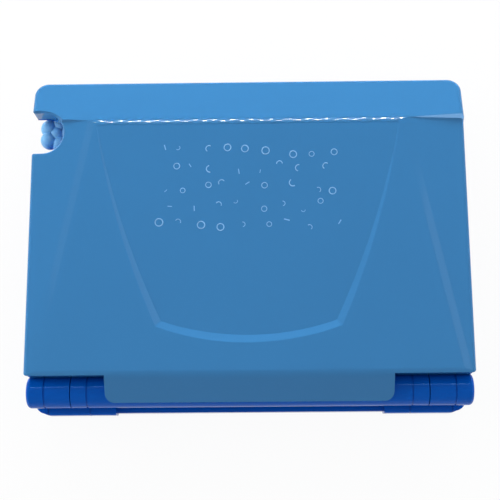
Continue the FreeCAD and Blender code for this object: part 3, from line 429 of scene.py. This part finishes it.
def laidOn(mesh, carrier, lift, dropFrom):
    # lets every point of a thin print follow the surface under it
    surface = BVHTree.FromPolygons([vert.co for vert in carrier.vertices],
                                   [tuple(face.vertices) for face in carrier.polygons])
    for vert in mesh.vertices:
        start = Vector((vert.co.x, vert.co.y, dropFrom))
        hit = surface.ray_cast(start, Vector((0, 0, -1)))[0]
        vert.co.z = hit.z + lift + vert.co.z
    mesh.update()


def flatShape(name, outlines, thickness):
    # each outline is a closed list of points; the thickness lies below height 0
    shape = bmesh.new()
    for outline in outlines:
        lower = [shape.verts.new((x, y, -thickness)) for x, y in outline]
        upper = [shape.verts.new((x, y, 0.0)) for x, y in outline]
        shape.faces.new(list(reversed(lower)))
        shape.faces.new(upper)
        addWall(shape, lower, upper)
    return meshFromBmesh(name, shape)


def movedBy(mesh, x, y, z=0.0):
    for vert in mesh.vertices:
        vert.co += Vector((x, y, z))
    return mesh


legend = {"size": 7.0 * mm, "curveSteps": 4, "iconSize": 5.5 * mm, "thickness": 0.3 * mm, "proud": 0.04 * mm,
          "dropFrom": 5 * mm}


def letterMesh(name, letter):
    curve = bpy.data.curves.new(name, "FONT")
    curve.body = letter
    curve.size = legend["size"]
    curve.align_x = "CENTER"
    curve.align_y = "CENTER"
    curve.extrude = legend["thickness"] / 2
    curve.resolution_u = legend["curveSteps"]
    holder = bpy.data.objects.new(name, curve)
    bpy.context.scene.collection.objects.link(holder)
    mesh = bpy.data.meshes.new_from_object(holder.evaluated_get(bpy.context.evaluated_depsgraph_get()))
    bpy.data.objects.remove(holder)
    bpy.data.curves.remove(curve)
    return movedBy(mesh, 0, 0, -legend["thickness"] / 2)


arrowUp = [(-0.42, -0.32), (0.42, -0.32), (0.0, 0.42)]
keyIcons = {
    "up": [arrowUp],
    "down": [[(x, -y) for x, y in reversed(arrowUp)]],
    "left": [[(-y, x) for x, y in arrowUp]],
    "right": [[(y, -x) for x, y in arrowUp]],
    "erase": [[(-0.55, 0.0), (-0.1, -0.4), (-0.1, -0.14), (0.55, -0.14), (0.55, 0.14), (-0.1, 0.14),
               (-0.1, 0.4)]],
    "enter": [[(-0.8, -0.12), (-0.35, -0.48), (-0.35, -0.25), (0.75, -0.25), (0.75, 0.45), (0.49, 0.45),
               (0.49, 0.01), (-0.35, 0.01), (-0.35, 0.24)]],
    "menu": [[(-0.6, y - 0.09), (0.6, y - 0.09), (0.6, y + 0.09), (-0.6, y + 0.09)]
             for y in (-0.36, 0.0, 0.36)],
    "space": [[(-1.6, -0.2), (1.6, -0.2), (1.6, 0.2), (1.42, 0.2), (1.42, -0.02), (-1.42, -0.02),
               (-1.42, 0.2), (-1.6, 0.2)]],
}
for keyName, cap in keyPieces.items():
    node = "key_" + keyName
    low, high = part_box(node)
    if keyName in keyIcons:
        scale = legend["iconSize"]
        outlines = [[(x * scale, y * scale) for x, y in outline] for outline in keyIcons[keyName]]
        mesh = flatShape(node + "_legend", outlines, legend["thickness"])
    else:
        mesh = letterMesh(node + "_legend", keyName.upper())
    movedBy(mesh, *middleOf(low, high))
    laidOn(mesh, cap.data, legend["proud"], high.z + legend["dropFrom"])
    pieceFrom(node + "_legend", mesh, "legendInk", node)
print("key legends laid:", len(keyPieces))


# geometry node trees

class NodeTree:
    def __init__(self, name):
        self.tree = bpy.data.node_groups.new(name, "GeometryNodeTree")
        self.tree.interface.new_socket("Geometry", in_out="INPUT", socket_type="NodeSocketGeometry")
        self.tree.interface.new_socket("Geometry", in_out="OUTPUT", socket_type="NodeSocketGeometry")
        self.start = self.tree.nodes.new("NodeGroupInput")
        self.stop = self.tree.nodes.new("NodeGroupOutput")

    def input(self, name, kind):
        self.tree.interface.new_socket(name, in_out="INPUT", socket_type=kind)
        return self.start.outputs[name]

    def node(self, kind, **values):
        return addNode(self.tree, kind, **values)

    def link(self, output, target):
        self.tree.links.new(output, target)

    def randomTurn(self, seed, most):  # a rotation about Z, between 0 and most
        turn = self.node("FunctionNodeRandomValue", data_type="FLOAT")
        turn.inputs["Max"].default_value = most
        spin = self.node("ShaderNodeCombineXYZ")
        self.link(seed, turn.inputs["Seed"])
        self.link(typedSockets(turn.outputs, "VALUE")[0], spin.inputs["Z"])
        return spin.outputs["Vector"]

    def finishWith(self, geometry, material):
        realized = self.node("GeometryNodeRealizeInstances")
        painted = self.node("GeometryNodeSetMaterial")
        self.link(geometry, realized.inputs["Geometry"])
        self.link(realized.outputs["Geometry"], painted.inputs["Geometry"])
        self.link(material, painted.inputs["Material"])
        self.link(painted.outputs["Geometry"], self.stop.inputs["Geometry"])


def grownMesh(name, startMesh, tree, values):
    holder = bpy.data.objects.new(name, startMesh)
    bpy.context.scene.collection.objects.link(holder)
    modifier = holder.modifiers.new(name, "NODES")
    modifier.node_group = tree.tree
    for item in tree.tree.interface.items_tree:
        if item.in_out == "INPUT" and item.name in values:
            modifier[item.identifier] = values[item.name]
    holder.update_tag()
    evaluated = holder.evaluated_get(bpy.context.evaluated_depsgraph_get())
    mesh = bpy.data.meshes.new_from_object(evaluated)
    holder.modifiers.remove(modifier)
    bpy.data.objects.remove(holder)
    return mesh


def pointMesh(name, points):
    mesh = bpy.data.meshes.new(name)
    mesh.from_pydata(points, [], [])
    return mesh


# screws: head downwards, cross recess

screwLook = {"headRadius": 2.6 * mm, "shankRadius": 1.25 * mm, "turns": 24,
             "headProfile": ((0.82, 0.0), (0.95, 0.12), (1.0, 0.35), (1.0, 1.0)),  # shares of radius, height
             "threadStart": 0.5 * mm, "threadPitch": 0.9 * mm, "threadDepth": 0.18 * mm, "pointShare": 0.6,
             "crossArm": 1.5 * mm, "crossHalf": 0.36 * mm, "crossDepth": 0.8 * mm, "crossTaper": 0.6}


def screwTemplate(name, headHeight, length):
    turns = screwLook["turns"]
    head = screwLook["headRadius"]
    shank = screwLook["shankRadius"]
    pitch = screwLook["threadPitch"]
    profile = [(head * radius, headHeight * height) for radius, height in screwLook["headProfile"]]
    profile.append((shank, headHeight))
    z = headHeight + screwLook["threadStart"]
    while z + pitch < headHeight + length:
        profile.append((shank, z))
        profile.append((shank - screwLook["threadDepth"], z + pitch / 2))
        z += pitch
    profile += [(shank, z), (shank * screwLook["pointShare"], headHeight + length)]
    angles = [2 * math.pi * step / turns for step in range(turns)]
    shape = bmesh.new()
    stackRings(shape, [([(radius * math.cos(angle), radius * math.sin(angle)) for angle in angles], height)
                       for radius, height in profile])
    mesh = meshFromBmesh(name, shape)
    arm, half, depth = screwLook["crossArm"], screwLook["crossHalf"], screwLook["crossDepth"]
    cross = [(arm, half), (half, half), (half, arm), (-half, arm), (-half, half), (-arm, half),
             (-arm, -half), (-half, -half), (-half, -arm), (half, -arm), (half, -half), (arm, -half)]
    taper = screwLook["crossTaper"]
    cutter = bmesh.new()
    stackRings(cutter, [(cross, -depth), ([(x * taper, y * taper) for x, y in cross], depth)])
    cutterMesh = meshFromBmesh(name + "_cross", cutter)
    body = bpy.data.objects.new(name, mesh)
    knife = bpy.data.objects.new(name + "_cross", cutterMesh)
    for made in (body, knife):
        bpy.context.scene.collection.objects.link(made)
    recess = body.modifiers.new("recess", "BOOLEAN")
    recess.operation = "DIFFERENCE"
    recess.object = knife
    recess.solver = "EXACT"
    cutMesh = bpy.data.meshes.new_from_object(body.evaluated_get(bpy.context.evaluated_depsgraph_get()))
    body.modifiers.remove(recess)
    body.data = cutMesh
    bpy.data.objects.remove(knife)
    return body


def screwTree():
    tree = NodeTree("screwSet")
    template = tree.input("Screw", "NodeSocketObject")
    seed = tree.input("Seed", "NodeSocketInt")
    material = tree.input("Finish", "NodeSocketMaterial")
    shape = tree.node("GeometryNodeObjectInfo")
    points = tree.node("GeometryNodeMeshToPoints")
    placed = tree.node("GeometryNodeInstanceOnPoints")
    tree.link(template, shape.inputs["Object"])
    tree.link(tree.start.outputs["Geometry"], points.inputs["Mesh"])
    tree.link(points.outputs["Points"], placed.inputs["Points"])
    tree.link(shape.outputs["Geometry"], placed.inputs["Instance"])
    tree.link(tree.randomTurn(seed, math.pi / 2), placed.inputs["Rotation"])
    tree.finishWith(placed.outputs["Instances"], material)
    return tree


weldDistance = 0.000001


def islandCentres(node):
    # middle of each separate solid of a CAD node, and its lowest point
    shape = bmesh.new()
    shape.from_mesh(cadNodes[node].data)
    bmesh.ops.remove_doubles(shape, verts=shape.verts, dist=weldDistance)
    seen = set()
    centres = []
    for vert in shape.verts:
        if vert.index in seen:
            continue
        island = [vert]
        seen.add(vert.index)
        for member in island:
            for edge in member.link_edges:
                other = edge.other_vert(member)
                if other.index not in seen:
                    seen.add(other.index)
                    island.append(other)
        xs, ys, zs = zip(*[member.co for member in island])
        centres.append(((min(xs) + max(xs)) / 2, (min(ys) + max(ys)) / 2, min(zs)))
    shape.free()
    return centres


screwSets = {
    "lid_screws": {"body": "lid", "headHeight": 1.6 * mm, "seed": 3},
    "case_screws": {"body": "base", "headHeight": 1.6 * mm, "seed": 5},
    "door_screw": {"body": "base", "headHeight": 1.1 * mm, "seed": 8},
}
screwGrower = screwTree()
for node, look in screwSets.items():
    low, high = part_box(node)
    template = screwTemplate(node + "_template", look["headHeight"], high.z - low.z - look["headHeight"])
    mesh = grownMesh(node + "_set", pointMesh(node + "_places", islandCentres(node)), screwGrower,
                     {"Screw": template, "Seed": look["seed"], "Finish": finishes["platedSteel"]})
    bpy.data.objects.remove(template)
    pieceFrom(node + "_set", mesh, None, look["body"], (node,))
print("screws set:", len(screwSets))


# printed motifs on the sunken panel: rings, half rings and bars

lidPrint = {"columns": 9, "rows": 5, "pitchX": 12.5 * mm, "pitchY": 11.0 * mm, "middleY": -30.0 * mm,
            "stray": 3.2 * mm, "ringRadius": 1.9 * mm, "ringSteps": 28, "halfSteps": 16,
            "lineWidth": 0.55 * mm, "barLength": 3.0 * mm, "smallest": 0.55, "largest": 1.15,
            "thickness": 0.1 * mm, "proud": 0.04 * mm, "dropFrom": 10 * mm, "seed": 11}


def printTree():
    tree = NodeTree("lidPrint")
    sockets = {name: tree.input(name, "NodeSocketFloat")
               for name in ("Stray", "Ring", "Line", "Bar", "Small", "Large")}
    seed = tree.input("Seed", "NodeSocketInt")
    material = tree.input("Finish", "NodeSocketMaterial")
    points = tree.node("GeometryNodeMeshToPoints")
    tree.link(tree.start.outputs["Geometry"], points.inputs["Mesh"])
    spread = tree.node("FunctionNodeRandomValue", data_type="FLOAT_VECTOR")
    negative = mathNode(tree.tree, "MULTIPLY", sockets["Stray"], -1.0)
    lowest = tree.node("ShaderNodeCombineXYZ")
    highest = tree.node("ShaderNodeCombineXYZ")
    for axis in ("X", "Y"):
        tree.link(negative, lowest.inputs[axis])
        tree.link(sockets["Stray"], highest.inputs[axis])
    tree.link(lowest.outputs["Vector"], spread.inputs["Min"])
    tree.link(highest.outputs["Vector"], spread.inputs["Max"])
    tree.link(seed, spread.inputs["Seed"])
    strayed = tree.node("GeometryNodeSetPosition")
    tree.link(points.outputs["Points"], strayed.inputs["Geometry"])
    tree.link(typedSockets(spread.outputs, "VECTOR")[0], strayed.inputs["Offset"])

    section = tree.node("GeometryNodeCurvePrimitiveQuadrilateral")
    section.inputs["Height"].default_value = lidPrint["thickness"]
    tree.link(sockets["Line"], section.inputs["Width"])

    ringPath = tree.node("GeometryNodeCurvePrimitiveCircle")
    ringPath.inputs["Resolution"].default_value = lidPrint["ringSteps"]
    halfPath = tree.node("GeometryNodeCurveArc")
    halfPath.inputs["Resolution"].default_value = lidPrint["halfSteps"]
    halfPath.inputs["Sweep Angle"].default_value = math.pi
    ring = tree.node("GeometryNodeCurveToMesh")
    half = tree.node("GeometryNodeCurveToMesh")
    half.inputs["Fill Caps"].default_value = True
    for path, swept in ((ringPath, ring), (halfPath, half)):
        tree.link(sockets["Ring"], path.inputs["Radius"])
        tree.link(path.outputs["Curve"], swept.inputs["Curve"])
        tree.link(section.outputs["Curve"], swept.inputs["Profile Curve"])

    barSize = tree.node("ShaderNodeCombineXYZ")
    barSize.inputs["Z"].default_value = lidPrint["thickness"]
    tree.link(sockets["Bar"], barSize.inputs["X"])
    tree.link(sockets["Line"], barSize.inputs["Y"])
    bar = tree.node("GeometryNodeMeshCube")
    tree.link(barSize.outputs["Vector"], bar.inputs["Size"])

    motifShapes = (bar.outputs["Mesh"], half.outputs["Mesh"], ring.outputs["Mesh"])
    motifs = tree.node("GeometryNodeJoinGeometry")
    for output in motifShapes:
        wrapped = tree.node("GeometryNodeGeometryToInstance")
        tree.link(output, wrapped.inputs["Geometry"])
        tree.link(wrapped.outputs["Instances"], motifs.inputs["Geometry"])
    pick = tree.node("FunctionNodeRandomValue", data_type="INT")
    least, most = typedSockets(pick.inputs, "INT")[:2]
    least.default_value = 0
    most.default_value = len(motifShapes) - 1
    tree.link(seed, pick.inputs["Seed"])
    size = tree.node("FunctionNodeRandomValue", data_type="FLOAT")
    least, most = typedSockets(size.inputs, "VALUE")[:2]
    tree.link(sockets["Small"], least)
    tree.link(sockets["Large"], most)
    tree.link(seed, size.inputs["Seed"])
    scale = tree.node("ShaderNodeCombineXYZ")
    for axis in ("X", "Y"):
        tree.link(typedSockets(size.outputs, "VALUE")[0], scale.inputs[axis])
    scale.inputs["Z"].default_value = 1.0
    placed = tree.node("GeometryNodeInstanceOnPoints")
    placed.inputs["Pick Instance"].default_value = True
    tree.link(strayed.outputs["Geometry"], placed.inputs["Points"])
    tree.link(motifs.outputs["Geometry"], placed.inputs["Instance"])
    tree.link(typedSockets(pick.outputs, "INT")[0], placed.inputs["Instance Index"])
    tree.link(scale.outputs["Vector"], placed.inputs["Scale"])
    tree.link(tree.randomTurn(seed, math.pi * 2), placed.inputs["Rotation"])
    tree.finishWith(placed.outputs["Instances"], material)
    return tree


places = []
for row in range(lidPrint["rows"]):
    odd = row % 2  # every second row has one motif fewer and is shifted by half a pitch
    for column in range(lidPrint["columns"] - odd):
        x = (column + odd / 2 - (lidPrint["columns"] - 1) / 2) * lidPrint["pitchX"]
        y = lidPrint["middleY"] + (row - (lidPrint["rows"] - 1) / 2) * lidPrint["pitchY"]
        places.append((x, y, 0.0))
mesh = grownMesh("lid_print", pointMesh("lid_print_places", places), printTree(),
                 {"Stray": lidPrint["stray"], "Ring": lidPrint["ringRadius"], "Line": lidPrint["lineWidth"],
                  "Bar": lidPrint["barLength"], "Small": lidPrint["smallest"], "Large": lidPrint["largest"],
                  "Seed": lidPrint["seed"], "Finish": finishes["lidInk"]})
laidOn(mesh, cadNodes["lid_cover"].data, lidPrint["proud"] - lidPrint["thickness"] / 2,
       cadBounds[1].z + lidPrint["dropFrom"])
pieceFrom("lid_print", mesh, None, "lid")
print("lid print laid:", len(places), "motifs")


# marks by the controls

volumeMarks = {"count": 6, "pitch": 3.2 * mm, "width": 1.3 * mm, "lowest": 0.9 * mm, "step": 0.45 * mm,
               "behind": 5.2 * mm, "thickness": 0.3 * mm, "proud": 0.04 * mm, "dropFrom": 2 * mm}
low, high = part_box("volume_slider")
sliderX, sliderY = middleOf(low, high)
bars = []
for index in range(volumeMarks["count"]):
    x = sliderX + (index - (volumeMarks["count"] - 1) / 2) * volumeMarks["pitch"]
    y = sliderY + volumeMarks["behind"]
    tall = volumeMarks["lowest"] + index * volumeMarks["step"]
    half = volumeMarks["width"] / 2
    bars.append([(x - half, y), (x + half, y), (x + half, y + tall), (x - half, y + tall)])
mesh = flatShape("volume_marks", bars, volumeMarks["thickness"])
laidOn(mesh, cadNodes["base_deck"].data, volumeMarks["proud"], high.z + volumeMarks["dropFrom"])
pieceFrom("volume_marks", mesh, "paleInk", "base")

powerMark = {"radius": 2.7 * mm, "line": 0.7 * mm, "gap": 38.0, "steps": 28, "strokeFoot": 0.3 * mm,
             "thickness": 0.3 * mm, "proud": 0.04 * mm, "dropFrom": 2 * mm}
low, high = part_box("power_button")
sweep = []
for step in range(powerMark["steps"] + 1):
    angle = math.radians(90 + powerMark["gap"] + (360 - 2 * powerMark["gap"]) * step / powerMark["steps"])
    sweep.append((math.cos(angle), math.sin(angle)))
half = powerMark["line"] / 2
outer = powerMark["radius"] + half
inner = powerMark["radius"] - half
arc = [(outer * x, outer * y) for x, y in sweep] + [(inner * x, inner * y) for x, y in reversed(sweep)]
foot = powerMark["strokeFoot"]
stroke = [(-half, foot), (half, foot), (half, outer), (-half, outer)]
mesh = flatShape("power_mark", [arc, stroke], powerMark["thickness"])
movedBy(mesh, *middleOf(low, high))
laidOn(mesh, cadNodes["power_button"].data, powerMark["proud"], high.z + powerMark["dropFrom"])
pieceFrom("power_mark", mesh, "paleInk", "power_button")
print("control marks laid")


# floor, light and camera

def seenRays(tree):  # 1 where the camera sees it, straight, mirrored or through glass
    rays = addNode(tree, "ShaderNodeLightPath").outputs
    direct = mathNode(tree, "MAXIMUM", rays["Is Camera Ray"], rays["Is Glossy Ray"])
    return mathNode(tree, "MAXIMUM", direct, rays["Is Transmission Ray"])


floorLook = {"half": 12.0, "colour": linear(247, 248, 249), "cloudScale": 3.0, "cloudTone": 0.985,
             "roughness": 0.9, "whiteShare": 0.94}
reach = floorLook["half"]
floorMesh = bpy.data.meshes.new("floor")
corners = [(-reach, -reach, 0), (reach, -reach, 0), (reach, reach, 0), (-reach, reach, 0)]
floorMesh.from_pydata(corners, [], [(0, 1, 2, 3)])
floor = bpy.data.objects.new("floor", floorMesh)
bpy.context.scene.collection.objects.link(floor)
floorFinish = Finish("paleFloor")
floorTree = floorFinish.tree
floorFinish.put("Base Color", floorFinish.blend(floorFinish.noise(floorLook["cloudScale"]),
                                                shaded(floorLook["colour"], floorLook["cloudTone"]),
                                                floorLook["colour"]))
floorFinish.put("Roughness", floorLook["roughness"])
floorFinish.put("Specular IOR Level", 0.0)
floorGlow = addNode(floorTree, "ShaderNodeEmission")
floorMix = addNode(floorTree, "ShaderNodeMixShader")
whiteShare = mathNode(floorTree, "MULTIPLY", seenRays(floorTree), floorLook["whiteShare"])
floorTree.links.new(whiteShare, floorMix.inputs["Fac"])
floorTree.links.new(floorFinish.shader.outputs["BSDF"], floorMix.inputs[1])
floorTree.links.new(floorGlow.outputs["Emission"], floorMix.inputs[2])
floorTree.links.new(floorMix.outputs["Shader"], floorTree.nodes["Material Output"].inputs["Surface"])
floorMesh.materials.append(floorFinish.material)

worldLook = {"colour": linear(232, 234, 238), "horizon": 0.78, "zenith": 0.52}
world = bpy.data.worlds.new("studio")
world.use_nodes = True
worldTree = world.node_tree
worldTree.nodes.clear()
worldFill = addNode(worldTree, "ShaderNodeBackground")
setInputs(worldFill, {"Color": worldLook["colour"]})
worldRay = addNode(worldTree, "ShaderNodeTexCoord")
worldHeight = addNode(worldTree, "ShaderNodeSeparateXYZ")
worldFade = addNode(worldTree, "ShaderNodeMapRange")
setInputs(worldFade, {"To Min": worldLook["horizon"], "To Max": worldLook["zenith"]})
worldOutput = addNode(worldTree, "ShaderNodeOutputWorld")
worldTree.links.new(worldRay.outputs["Generated"], worldHeight.inputs["Vector"])
worldTree.links.new(worldHeight.outputs["Z"], worldFade.inputs["Value"])
worldTree.links.new(worldFade.outputs["Result"], worldFill.inputs["Strength"])
worldTree.links.new(worldFill.outputs["Background"], worldOutput.inputs["Surface"])
bpy.context.scene.world = world


def panelLamp(name, place, aim, size, power):
    data = bpy.data.lights.new(name, "AREA")
    data.shape = "RECTANGLE"
    data.size, data.size_y = size
    data.energy = power
    lamp = bpy.data.objects.new(name, data)
    bpy.context.scene.collection.objects.link(lamp)
    lamp.location = place
    lamp.rotation_euler = (Vector(aim) - Vector(place)).to_track_quat("-Z", "Y").to_euler()
    return lamp


def lampStrength(lamp):
    lamp.data.use_nodes = True
    return lamp.data.node_tree.nodes["Emission"].inputs["Strength"]


def bandShare(tree, y, z, half):  # 1 for rays that cross height z within a narrow band of y
    surface = addNode(tree, "ShaderNodeNewGeometry").outputs
    place = addNode(tree, "ShaderNodeSeparateXYZ")
    ray = addNode(tree, "ShaderNodeSeparateXYZ")
    tree.links.new(surface["Position"], place.inputs["Vector"])
    tree.links.new(surface["Incoming"], ray.inputs["Vector"])
    drop = mathNode(tree, "SUBTRACT", z, place.outputs["Z"])
    slope = mathNode(tree, "DIVIDE", ray.outputs["Y"], ray.outputs["Z"])
    crossing = mathNode(tree, "ADD", place.outputs["Y"], mathNode(tree, "MULTIPLY", drop, slope))
    off = mathNode(tree, "ABSOLUTE", mathNode(tree, "SUBTRACT", crossing, y))
    return mathNode(tree, "LESS_THAN", off, half)


lamps = {  # power lights the scene, gloss is the dimmer face that the gloss mirrors
    "front": {"place": (0.0, -1.05, 0.36), "size": (1.6, 0.32), "power": 15.5, "gloss": 4.0},
    "left": {"place": (-1.5, -0.2, 0.6), "size": (1.2, 0.5), "power": 5.2, "gloss": 3.8},
    "right": {"place": (1.5, -0.2, 0.6), "size": (1.2, 0.5), "power": 12.5, "gloss": 4.7},
}
lampAim = (0, 0, 0.03)
for side, look in lamps.items():
    panelLamp(side + "Panel", look["place"], lampAim, look["size"], look["power"]).visible_glossy = False
for side, look in lamps.items():
    panelLamp(side + "Face", look["place"], lampAim, look["size"], look["gloss"]).visible_diffuse = False

hingeLine = {"size": (0.22, 0.035), "power": 0.8, "tint": (0.3, 0.62, 1.0),
             "band": {"y": 0.085, "z": 0.036, "half": 0.014}}  # shines on a band along the hinge only
mirroredStrips = {  # small faces that show as mirror images only
    "stepFace": {"place": (-0.53, 1.4, 0.45), "aim": (-0.12, -0.07, 0.04), "size": (0.11, 0.07),
                 "power": 0.22, "tint": (0.34, 0.63, 1.0)},
    "wallFace": {"place": (-0.77, -0.64, 1.11), "aim": (0.07, 0.0, 0.04), "size": (0.35, 0.35),
                 "power": 0.16},
    "leftStrip": {"place": (-0.59, -0.41, 1.9), "aim": (0, -0.41, 0), "size": (0.72, 0.1), "power": 0.1},
    "leftHinge": {"place": (-0.335, -0.55, 1.055), "aim": (-0.1, 0.08, 0.04), **hingeLine},
    "rightHinge": {"place": (0.335, -0.55, 1.055), "aim": (0.1, 0.08, 0.04), **hingeLine},
    "rightStrip": {"place": (0.59, -0.41, 1.9), "aim": (0, -0.41, 0), "size": (0.72, 0.1), "power": 0.055},
}
for stripName, look in mirroredStrips.items():
    strip = panelLamp(stripName, look["place"], look["aim"], look["size"], look["power"])
    strip.visible_diffuse = False
    if "tint" in look:
        strip.data.color = look["tint"]
    if "band" in look:
        strength = lampStrength(strip)
        stripTree = strip.data.node_tree
        stripTree.links.new(bandShare(stripTree, **look["band"]), strength)

ledRows = {"rows": ((27.0, 0.085, 0.0), (33.2, 0.085, 0.5)),  # angle, depth, shift
           "away": 1.1, "aim": (0.0, -70.7 * mm, 43.0 * mm), "length": 0.54, "glow": 125.0, "lamps": 18.5,
           "lit": 0.11, "bandHalf": 9.0 * mm}  # shine on a band along the crease only
for angle, depth, shift in ledRows["rows"]:
    aim = Vector(ledRows["aim"])
    tilt = math.radians(angle)
    place = aim + ledRows["away"] * Vector((0.0, -math.sin(tilt), math.cos(tilt)))
    power = ledRows["glow"] * math.pi * ledRows["length"] * depth
    row = panelLamp("ledRow", place, aim, (ledRows["length"], depth), power)
    row.visible_diffuse = False
    strength = lampStrength(row)
    rowTree = row.data.node_tree
    along = addNode(rowTree, "ShaderNodeSeparateXYZ")
    surface = addNode(rowTree, "ShaderNodeNewGeometry").outputs
    rowTree.links.new(surface["Parametric"], along.inputs["Vector"])
    count = mathNode(rowTree, "MULTIPLY_ADD", along.outputs["X"], ledRows["lamps"])
    count.node.inputs[2].default_value = shift
    lit = mathNode(rowTree, "LESS_THAN", mathNode(rowTree, "FRACT", count), ledRows["lit"])
    share = bandShare(rowTree, ledRows["aim"][1], ledRows["aim"][2], ledRows["bandHalf"])
    rowTree.links.new(mathNode(rowTree, "MULTIPLY", lit, share), strength)

view = {"place": (-9.02 * mm, 134.77 * mm, 657.75 * mm), "turn": (11.7867, 0.8338, 179.6122), "lens": 80.309,
        "sensor": 36.0, "nearest": 0.01}
camera = bpy.data.cameras.new("photoView")
camera.sensor_width = view["sensor"]
camera.lens = view["lens"]
camera.clip_start = view["nearest"]
cameraObject = bpy.data.objects.new("photoView", camera)
bpy.context.scene.collection.objects.link(cameraObject)
cameraObject.location = view["place"]
cameraObject.rotation_euler = Euler([math.radians(angle) for angle in view["turn"]])
bpy.context.scene.camera = cameraObject
bpy.context.scene.view_settings.view_transform = "Standard"
print("light and camera set")
